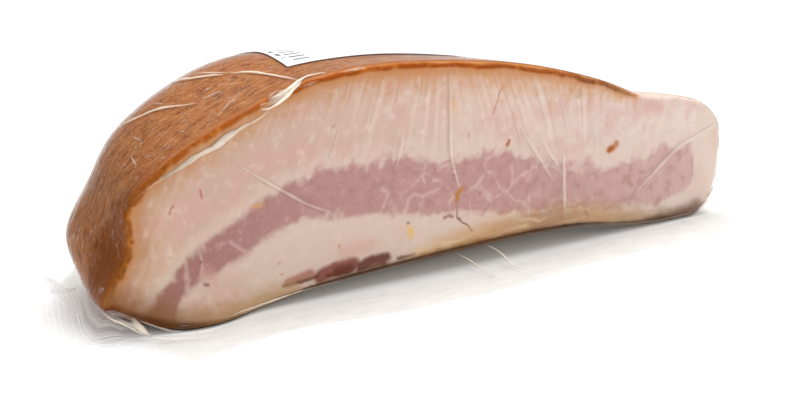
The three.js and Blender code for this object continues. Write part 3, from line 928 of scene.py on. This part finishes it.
# %% One film shader with different haze
def film_material(name, tint, milk_roughness, gloss_roughness=0.14, glance_ior=1.22):
    """A clear film; returns the material, its tree and the sockets for gloss and haze"""
    made, tree, milk = new_material(name)
    milk.inputs["Base Color"].default_value = tint
    milk.inputs["Roughness"].default_value = milk_roughness
    clear = add(tree, "ShaderNodeBsdfTransparent")
    gloss = add(tree, "ShaderNodeBsdfGlossy", {"Roughness": gloss_roughness, "Color": (1.0, 1.0, 1.0, 1.0)})
    glance = add(tree, "ShaderNodeFresnel", {"IOR": glance_ior})
    glazed = add(tree, "ShaderNodeMixShader",
                 {0: glance.outputs[0], 1: clear.outputs[0], 2: gloss.outputs[0]})
    hazed = add(tree, "ShaderNodeMixShader", {0: 0.0, 1: glazed.outputs[0], 2: milk.outputs[0]})
    tree.links.new(hazed.outputs[0], tree.nodes["Material Output"].inputs["Surface"])
    return made, tree, (gloss, glance, milk), hazed.inputs[0]


skin_material, skin_tree, skin_gloss, skin_haze = film_material(
    "clear_film", srgb(246, 236, 226), 0.3, 0.12, 1.13)
film_spot, _, film_y, _ = at_the_cut(skin_tree)
creases = noise(film_spot, (0.16, 0.5, 0.16), 4.0, 0.6)
wrinkles = noise(film_spot, (0.9, 0.5, 0.5), 2.0, 0.5)
crease_line = fade(maths("ABSOLUTE", minus(creases, 0.5)), 0.025, 0.0)
behind_cut = fade(film_y, 0.5, 2.0)
haze = times(times(crease_line, fade(wrinkles, 0.45, 0.7)), behind_cut)
skin_tree.links.new(times(haze, 0.28), skin_haze)
film_bump = add(skin_tree, "ShaderNodeBump", {
    "Height": times_plus(wrinkles, 0.4, creases), "Strength": 0.5, "Distance": 0.0008})
for shader in skin_gloss:
    skin_tree.links.new(film_bump.outputs[0], shader.inputs["Normal"])
film_skin.data.materials.append(skin_material)
print("clear film ready")

# %% [markdown]
# The margin is two films sealed together, so it is milkier, with fine parallel marks of the sealing bar at
# the thick end and soft ripples elsewhere. Close to the foot under the arched front edge the film is made
# hazier and dark brown: a painted shadow under the arch.

# %% The margin's film
margin_material, margin_tree, margin_gloss, margin_haze = film_material(
    "sealed_film", srgb(190, 192, 186), 0.4, 0.4, 1.04)
margin_spot, margin_x, margin_y, _ = at_the_cut(margin_tree)
ripples = noise(margin_spot, (0.12, 0.5, 0.1), 3.0, 0.55)
out_value = stored(margin_tree, "out_mm")
rib_lines = line_noise(times_plus(ripples, 0.8, out_value), 2.0, 0.6)
at_flap = fade(margin_x, 14.0, 2.0)
rib_mask = times(at_flap, fade(rib_lines, 0.42, 0.62))
milky = times_plus(fade(ripples, 0.38, 0.66), 0.08, 0.18)
milky = times(milky, fade(out_value, 2.0, 12.0))
milky = times(milky, times_plus(at_flap, -0.6, 1.0))
milky = times_plus(rib_mask, 0.2, milky)
# painted shadow: near the foot under the arch the film gets more haze and a dark brown tint
arch_painted_shade = times(fade(out_value, 6.0, 0.5), fade(margin_y, 4.0, 0.0))
arch_painted_shade = times(arch_painted_shade, times(fade(margin_x, 36.0, 60.0), fade(margin_x, 214.0, 190.0)))
margin_tree.links.new(times_plus(arch_painted_shade, 0.55, milky), margin_haze)
margin_colour = mix(at_flap, srgb(188, 190, 180), srgb(248, 252, 255))
margin_colour = mix(arch_painted_shade, margin_colour, srgb(56, 40, 32))
margin_tree.links.new(mix(rib_mask, margin_colour, srgb(250, 253, 255)), margin_gloss[2].inputs["Base Color"])
margin_bump = add(margin_tree, "ShaderNodeBump", {"Height": ripples, "Strength": 0.2, "Distance": 0.0004})
for shader in margin_gloss:
    margin_tree.links.new(margin_bump.outputs[0], shader.inputs["Normal"])
film_margin.data.materials.append(margin_material)
print("sealed film ready")

# %% [markdown]
# ## Folds of the film
# Where the film has slack it stands up in thin folds, the brightest thing on the pack. Each is a
# thin tapered tube along a path, snapped to the nearest point of the film and half sunk into it.
# How milky a fold is, is stored on its vertices, so one material does for all of them.

# %% A helper that lays a fold on the film
film_surface = BVHTree.FromPolygons([v.co[:] for v in film_skin.data.vertices],
                                    [p.vertices[:] for p in film_skin.data.polygons])


def even_path(points, step):
    """A smooth open path through a few points, with points a step apart"""
    line = np.array(points, float)
    for _ in range(3):
        cut = np.empty((2 * len(line) - 2, 3))
        cut[0::2] = 0.75 * line[:-1] + 0.25 * line[1:]
        cut[1::2] = 0.25 * line[:-1] + 0.75 * line[1:]
        line = np.vstack([line[:1], cut, line[-1:]])
    travelled = np.r_[0, np.cumsum(np.linalg.norm(np.diff(line, axis=0), axis=1))]
    stops = np.linspace(0, travelled[-1], max(int(travelled[-1] / step), 5) + 1)
    return np.stack([np.interp(stops, travelled, line[:, k]) for k in range(3)], axis=1)


def fold(points, width, height, milk, snap=True):
    """A fold along a path: milk is its haze at the two ends, and it thins out towards its sides"""
    path = [place(*p) for p in even_path(points, 0.6)]
    normals = [Vector((0.0, -0.5, 0.85))] * len(path)
    if snap:
        found = [film_surface.find_nearest(p) for p in path]
        path, normals = [f[0] for f in found], [f[1] for f in found]
    rings, shares = [], []
    turns = [k * math.tau / 8 for k in range(8)]
    for i, (centre, normal) in enumerate(zip(path, normals)):
        ahead = (path[min(i + 1, len(path) - 1)] - path[max(i - 1, 0)]).normalized()
        across = ahead.cross(normal).normalized()
        upwards = across.cross(ahead).normalized()
        share = i / (len(path) - 1)
        shares.append(share)
        size = 0.15 + 0.85 * math.sin(math.pi * share) ** 0.5
        seed = points[0][0] + points[0][2]
        size *= 1.0 + 0.2 * math.sin(i * 0.37 + seed) + 0.12 * math.sin(i * 0.91 + 2.0 * seed)
        rings.append([centre + across * math.cos(turn) * width * 0.5 * size * MM + upwards * math.sin(turn) * height * size * MM for turn in turns])
    piece = loft("fold", rings)
    row, around = piece.data.attributes["row"].data, piece.data.attributes["around"].data
    values = []
    for i in range(len(piece.data.vertices)):
        share, turn = shares[row[i].value], turns[around[i].value]
        along = (milk[0] + (milk[1] - milk[0]) * share) * math.sin(math.pi * (0.04 + 0.92 * share)) ** 0.6
        values.append(along * max(math.sin(turn), 0.0) ** 0.7)
    piece.data.attributes.new("milk", "FLOAT", "POINT").data.foreach_set("value", values)
    return piece


def join_as(name, pieces):
    bpy.ops.object.select_all(action="DESELECT")
    for piece in pieces:
        piece.select_set(True)
    bpy.context.view_layer.objects.active = pieces[0]
    bpy.ops.object.join()
    joined = bpy.context.active_object
    joined.name = name
    joined.data.name = name
    return joined


print("film surface has", len(film_skin.data.polygons), "faces to snap to")

# %% [markdown]
# The folds of this pack: a strong one along the left rim of the cut, where the film bridges the
# edge of the rind, two over the rind and many faint ones down the cut, which follow the same fan
# as the streaks of the fat.

# %% Folds on the cut and on the rind
def on_cut_line(points):
    """Points of the cut plane, given by x and z only"""
    return [(x, 0.0, z) for x, z in points]


RIM_FOLDS = [
    # points, width, height, milk at both ends
    ([(10.5, 0, 36.6), (13.5, 0, 38.7), (17.5, 0, 40.6), (22, 0, 42.4), (27, 0, 44.5), (32, 0, 46.3)], 0.7,
     0.25, (0.1, 0.4)),
    ([(18.4, 0, 41), (22.3, 0, 42.5), (25.2, 0, 43.7), (28.2, 0, 45.2), (31.2, 0, 46.2), (33.6, 0, 46.8),
      (36, 0, 47.9), (38.2, 0, 49), (40.6, 0, 50.2), (42.2, 0, 51.1), (44, 0, 51.7), (45.5, 0, 52)], 1.8, 0.2,
     (0.3, 0.8)),
    ([(33, 0, 46.6), (36, 0, 48.1), (38.6, 0, 49.6), (41, 0, 50.6)], 2.2, 0.18, (0.3, 0.6)),
    ([(44.9, 0, 51.8), (46.7, 0, 52.4), (48.6, 0, 53.3), (50.5, 0, 54.5)], 0.8, 0.3, (0.5, 0.4)),
    ([(48, 0, 55.3), (49.6, 0, 55.1), (50.8, 0, 55.1), (52, 0, 55.6), (53.6, 0, 56.3), (55.2, 0, 57.2),
      (56.4, 0, 57.9), (57.7, 0, 58.9), (58.9, 0, 59.8), (60.3, 0.1, 60.5), (62, 1.3, 60.9)], 1.1, 0.5,
     (0.9, 1.0)),
    ([(50.9, 0, 57.9), (52.7, 0, 58.2), (54.3, 0, 58.5), (55.8, 0, 59.2), (57.6, 0.4, 59.9),
      (59.2, 0.8, 60.3), (60.8, 1.4, 60.7), (62.6, 2.3, 61.1), (64, 3, 61.4), (65.2, 2.9, 61.6),
      (66.6, 2.6, 61.8), (68.3, 2.2, 62), (69.9, 1.3, 62.1)], 1.1, 0.5, (0.9, 0.9)),
    ([(50, 0, 56.4), (52, 0, 57), (54, 0, 57.9), (56, 0, 58.6), (58, 0.1, 59.6), (60, 0.8, 60.3),
      (61.8, 1.6, 60.8)], 2.4, 0.2, (0.4, 0.75)),
    ([(50.9, 0.6, 57.9), (52.8, 1.6, 58.5), (54.3, 1.6, 59), (55.9, 1.1, 59.4)], 0.7, 0.3, (0.35, 0.35)),
    ([(47.8, 0, 56.5), (49.3, 0, 56.7), (50.5, 0, 56.7)], 0.6, 0.25, (0.3, 0.4)),
    ([(61.1, 0, 59.6), (62.7, 0, 60), (64.6, 0, 60.3), (66.5, 0, 60.7)], 0.6, 0.2, (0.15, 0.15)),
    ([(74.5, 0, 62.2), (77.1, 0, 62.6), (79.7, 0, 62.7), (82.3, 0, 62.6)], 0.7, 0.3, (0.25, 0.25)),
]
RIND_FOLDS = [
    ([(49.2, 18.4, 61.7), (50.7, 17.1, 61.7), (52.5, 16, 61.8), (54.4, 14.5, 61.9), (55.9, 12.8, 61.7),
      (57.3, 11, 61.6), (58.6, 9, 61.3), (59.8, 6.8, 61.1), (60.9, 4.7, 61), (61.9, 2.6, 61)], 0.9, 0.45,
     (0.8, 0.9)),
    ([(40.4, 34.9, 56.9), (39.6, 30.4, 58.3), (39.8, 26.9, 59.3), (40.9, 24.5, 60), (42.5, 22.8, 60.5),
      (43.9, 21.5, 60.8), (45.8, 20, 61.1), (47.9, 18.3, 61.3)], 1.1, 0.45, (0.5, 1.0)),
    ([(43.5, 27.9, 60.6), (44.3, 23.8, 61.2), (46.6, 20.8, 61.5), (49.2, 18.4, 61.7)], 0.7, 0.3, (0.3, 0.7)),
    ([(20, 30.5, 46.3), (21.5, 28.5, 48.6), (22.8, 25.2, 50.5), (24.6, 22.9, 52), (26.9, 21.5, 53.3),
      (29, 19.7, 54.2), (31, 17.9, 54.8), (33, 16, 55.2), (35.2, 14.4, 55.6), (36.8, 13.5, 56)], 0.95, 0.4,
     (0.55, 0.75)),
    ([(38, 14, 56.7), (39.3, 13.6, 57), (42.1, 13.2, 57.9), (44.4, 12.9, 58.6)], 0.6, 0.25, (0.3, 0.2)),
    ([(19.5, 19.1, 48.3), (20, 16, 48.1), (20.5, 13.7, 47.9)], 0.5, 0.2, (0.2, 0.2)),
    ([(37.5, 4.8, 53.5), (41.4, 6.8, 55.5), (45.2, 8, 57.2), (47, 8.5, 58)], 0.6, 0.25, (0.2, 0.25)),
    ([(13.5, 27, 40.2), (14.3, 27.6, 41), (15.1, 27.7, 42.2)], 0.7, 0.35, (0.5, 0.5)),
    ([(16.6, 13.2, 45.1), (15.7, 9.8, 43.5), (15.7, 8.2, 43.1), (14.6, 8.5, 42.4)], 0.5, 0.2, (0.2, 0.3)),
    ([(29.3, 24.1, 54.7), (30.8, 20.3, 55.2)], 0.5, 0.2, (0.3, 0.3)),
    ([(45.3, 14.8, 59.5), (47.5, 13.4, 59.8), (49.6, 12.8, 60.2)], 0.5, 0.2, (0.25, 0.25)),
    ([(17.2, 25, 46.1), (15, 25.5, 43.3), (12.3, 27.1, 37.8), (10, 28.3, 33)], 0.7, 0.3, (0.35, 0.35)),
    ([(3.7, 27.3, 21.5), (4.2, 24.2, 26.1), (6.9, 25.9, 29.9), (9, 26.3, 32.8)], 0.7, 0.3, (0.3, 0.35)),
]
CUT_FOLDS = [
    ([(109.6, 60.3), (110.3, 52.5), (110.4, 43.9), (110.5, 35.2), (111.2, 30.7), (112.7, 26.6),
      (113.4, 24.1)], 1.4, (0.08, 0.4)),
    ([(94.3, 43.3), (93.6, 39.1), (92.6, 35.5), (91.5, 32.8)], 1.2, (0.2, 0.3)),
    ([(152, 29), (152.1, 23), (152.5, 16.8), (152.9, 9.0)], 1.6, (0.34, 0.36)),
    ([(214.1, 29), (206.7, 26.2), (200.9, 24.5), (195.2, 21.8), (188.4, 16.8), (182.5, 12.9), (179.3, 10.3)],
     1.5, (0.26, 0.3)),
    ([(135.3, 37.5), (139.1, 33.4), (142.9, 28), (146.1, 23.3), (149.2, 19.1)], 1.4, (0.18, 0.24)),
    ([(142, 35.1), (145.9, 30), (149, 25.6), (151.4, 23.1)], 1.2, (0.14, 0.2)),
    ([(38.6, 43), (44.6, 38.8), (50.7, 34.6), (56.9, 30.6), (61.6, 27.3), (66.4, 25.1), (71.2, 23.1)], 1.0,
     (0.2, 0.32)),
]
folds = [fold(*row) for row in RIM_FOLDS + RIND_FOLDS]
folds += [fold(on_cut_line(points), width, 0.16, milk) for points, width, milk in CUT_FOLDS]
random.seed(5)
for n in range(12):
    top_x = 74.0 + n * 8.6 + random.uniform(-3.0, 3.0)
    lean_over = np.interp(top_x, [70, 100, 115, 135, 180], [0.42, 0.25, -0.2, -0.45, -0.1])
    z_from = random.uniform(0.72, 0.9) * np.interp(top_x, [70, 110, 150, 180], [60, 60, 52, 42])
    z_to = z_from - random.uniform(7.0, 15.0)
    line = [(top_x - lean_over * (z_from - z) + 0.3 * math.sin(z), z) for z in np.linspace(z_from, z_to, 5)]
    folds.append(fold(on_cut_line(line), 1.0, 0.1, (random.uniform(0.06, 0.14),) * 2))
print(len(folds), "folds on the film")

# %% [markdown]
# Under the arched edge two webs of film run down to the table, and at the lower left corner the
# slack film is gathered in a small bunch of pale pleats.

# %% Webs, pleats and the line along the foot
LOOSE_FOLDS = [
    ([(111.6, -0.3, 4.9), (113.8, -2.4, 3.4), (115.6, -3.7, 2), (115.2, -9, 1.2), (114.3, -17.5, 0.8)], 0.6,
     0.3, (1.0, 0.6)),
    ([(122.4, -0.3, 5.3), (124.6, -1.9, 4.1), (126.1, -3.2, 3), (125.6, -8, 1.4), (124.8, -14.7, 0.8)], 0.7,
     0.35, (1.0, 0.8)),
    ([(1.5, 6, 8.5), (1.7, 2, 6.9), (2.9, 0, 5.6), (4.9, -1, 4.7), (6.7, -2, 3.5), (7.9, -4, 2.5),
      (9.9, -5, 1.5)], 0.7, 0.35, (0.6, 0.9)),
    ([(3.2, 0, 6), (5.6, -0.6, 4.9), (7.8, -1.5, 3.6), (9.7, -2.6, 2.3), (11.2, -5, 1.2)], 2.0, 0.3,
     (0.25, 0.6)),
    ([(7.6, -0.5, 5.6), (8.6, -1.4, 4.2), (9.6, -2.6, 2.7), (10.6, -4.6, 1.4)], 2.4, 0.4, (0.35, 0.8)),
    ([(10.1, -0.8, 4.4), (12.6, -1.8, 3.1), (14.8, -3, 2.1), (17.6, -4.6, 1.0), (20.6, -6, 0.8)], 0.9, 0.25,
     (0.4, 0.3)),
    ([(9.9, -5, 1.3), (13.6, -8.4, 0.9), (18.6, -10.8, 0.8), (24, -12.4, 0.8)], 1.6, 0.2, (0.4, 0.15)),
    ([(32.6, -4.7, 1.6), (35.6, -4.1, 1.5), (39, -3.2, 1.9), (42.6, -2.3, 1.8), (46.1, -1.6, 2),
      (49.4, -1.1, 2.1), (56.1, -0.6, 2.7), (62.6, -0.5, 3.1), (69.1, -0.5, 3.4), (79, -0.5, 3.6)], 0.6, 0.3,
     (0.8, 0.35)),
    ([(72, -0.4, 3.5), (79, -0.4, 3.7), (85.8, -0.4, 4), (92.6, -0.4, 4.3), (99.5, -0.4, 4.5)], 0.4, 0.2,
     (0.2, 0.2)),
]
folds += [fold(*row, snap=False) for row in LOOSE_FOLDS]
film_folds = join_as("film_folds", folds)
fold_material, fold_tree, _, fold_haze = film_material("folded_film", srgb(253, 240, 220), 0.3, 0.2, 1.06)
fold_tree.links.new(stored(fold_tree, "milk"), fold_haze)
film_folds.data.materials.append(fold_material)
report(film_folds)

# %% [markdown]
# ## The label
# The paper label lies on the crown and follows it. A grid is laid over it and every corner of the
# grid is dropped onto the film, then it gets the thickness of paper. Its print is kept generic:
# rules, small blocks and a grey field, by the label's own UV map.

# %% The label dropped onto the film
label_from = (label_low[0], label_low[1])
label_size = (label_high[0] - label_low[0], label_high[1] - label_low[1])
bpy.ops.object.select_all(action="DESELECT")
bpy.ops.mesh.primitive_grid_add(x_subdivisions=60, y_subdivisions=42, size=1.0, location=(0, 0, 0))
paper_label = bpy.context.active_object
paper_label.name = "paper_label"
paper_label.data.name = "paper_label"
for vertex in paper_label.data.vertices:
    x = label_from[0] + (vertex.co.x + 0.5) * label_size[0]
    y = label_from[1] + (vertex.co.y + 0.5) * label_size[1]
    hit = film_surface.ray_cast(Vector((x, y, 0.2)), Vector((0, 0, -1)))[0]
    vertex.co = (x, y, hit.z + 0.1 * MM)
activate(paper_label)
thick = paper_label.modifiers.new("paper", "SOLIDIFY")
thick.thickness = 0.2 * MM
thick.offset = 1.0
bpy.ops.object.modifier_apply(modifier=thick.name)
bpy.ops.object.shade_smooth_by_angle(angle=math.radians(40))
report(paper_label)

# %% The label's paper and generic print
LABEL_WIDTH = 60.0
LABEL_DEPTH = 42.0
label_material, paper, paper_shader = new_material("printed_paper")
label_uv = add(paper, "ShaderNodeUVMap", uv_map=paper_label.data.uv_layers[0].name).outputs[0]
parts = add(paper, "ShaderNodeSeparateXYZ", {0: label_uv})
across_mm, up_mm = times(parts.outputs[0], LABEL_WIDTH), times(parts.outputs[1], LABEL_DEPTH)


def inside(value, low, high):
    return times(maths("GREATER_THAN", value, low), maths("LESS_THAN", value, high))


def field(x0, y0, x1, y1):
    return times(inside(across_mm, x0, x1), inside(up_mm, y0, y1))


def rules(value, pitch, share):
    return maths("LESS_THAN", maths("FRACT", over(value, pitch)), share)


blocks = times(rules(times_plus(up_mm, 0.3, across_mm), 1.9, 0.5), rules(up_mm, 5.0, 0.5))
prints = [
    times(field(3.6, 2.5, 9.0, 16.0), rules(up_mm, 2.4, 0.45)),
    times(field(1.2, 5.0, 2.6, 16.0), rules(up_mm, 3.6, 0.6)),
    times(field(14.0, 12.0, 34.0, 24.0), blocks),
    times(field(40.0, 4.0, 56.0, 13.0), rules(across_mm, 1.3, 0.4)),
]
ink = prints[0]
for pattern in prints[1:]:
    ink = maths("MAXIMUM", ink, pattern)
paper_grain = add(paper, "ShaderNodeTexNoise", {"Vector": label_uv, "Scale": 90.0, "Detail": 3.0}).outputs[0]
sheet = mix(paper_grain, srgb(246, 247, 248), srgb(252, 252, 250))
sheet = mix(times(field(38.0, 18.0, 56.0, 38.0), 0.6), sheet, srgb(196, 206, 214))
sheet = mix(times(ink, 0.85), sheet, srgb(52, 56, 66))
paper.links.new(sheet, paper_shader.inputs["Base Color"])
paper_shader.inputs["Roughness"].default_value = 0.55
paper_bump = add(paper, "ShaderNodeBump", {"Height": paper_grain, "Strength": 0.2, "Distance": 0.0001})
paper.links.new(paper_bump.outputs[0], paper_shader.inputs["Normal"])
paper_label.data.materials.append(label_material)
print("label printed")

# %% [markdown]
# ## The floor and the light
# The photograph has a white ground and soft light from all round, a little stronger from above.
# A pale floor, a bright even world and two large soft lamps give that, with a soft shadow under
# the arched front edge, deepened by the shadow painted on the margin film there.

# %% Floor, world and lamps
bpy.ops.object.select_all(action="DESELECT")
bpy.ops.mesh.primitive_plane_add(size=6.0, location=(0, 0, -0.0002))
floor = bpy.context.active_object
floor.name = "floor"
floor_material = bpy.data.materials.new("white_ground")
floor_material.use_nodes = True
floor_shader = floor_material.node_tree.nodes["Principled BSDF"]
floor_shader.inputs["Base Color"].default_value = (0.93, 0.93, 0.93, 1.0)
floor_shader.inputs["Roughness"].default_value = 0.9
floor.data.materials.append(floor_material)

world = bpy.data.worlds.new("studio")
bpy.context.scene.world = world
world.use_nodes = True
world.node_tree.nodes["Background"].inputs["Color"].default_value = (1.0, 1.0, 1.0, 1.0)
world.node_tree.nodes["Background"].inputs["Strength"].default_value = 0.75


def soft_lamp(name, spot, size, power):
    lamp = bpy.data.lights.new(name, "AREA")
    lamp.shape = "DISK"
    lamp.size = size
    lamp.energy = power
    holder = bpy.data.objects.new(name, lamp)
    bpy.context.scene.collection.objects.link(holder)
    holder.location = spot
    holder.rotation_euler = (Vector((0, 0, 0.02)) - Vector(spot)).to_track_quat("-Z", "Y").to_euler()


soft_lamp("lamp_above", (0.15, 0.1, 0.9), 0.7, 6.0)
soft_lamp("lamp_front", (0.1, -0.9, 0.5), 0.6, 2.3)
bpy.context.scene.view_settings.view_transform = "Standard"
print("stage ready")

# %% Who rides on what
for piece in (jowl, film_skin, film_margin, film_folds, paper_label):
    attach(piece, "root")
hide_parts("packed_jowl")
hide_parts("label")
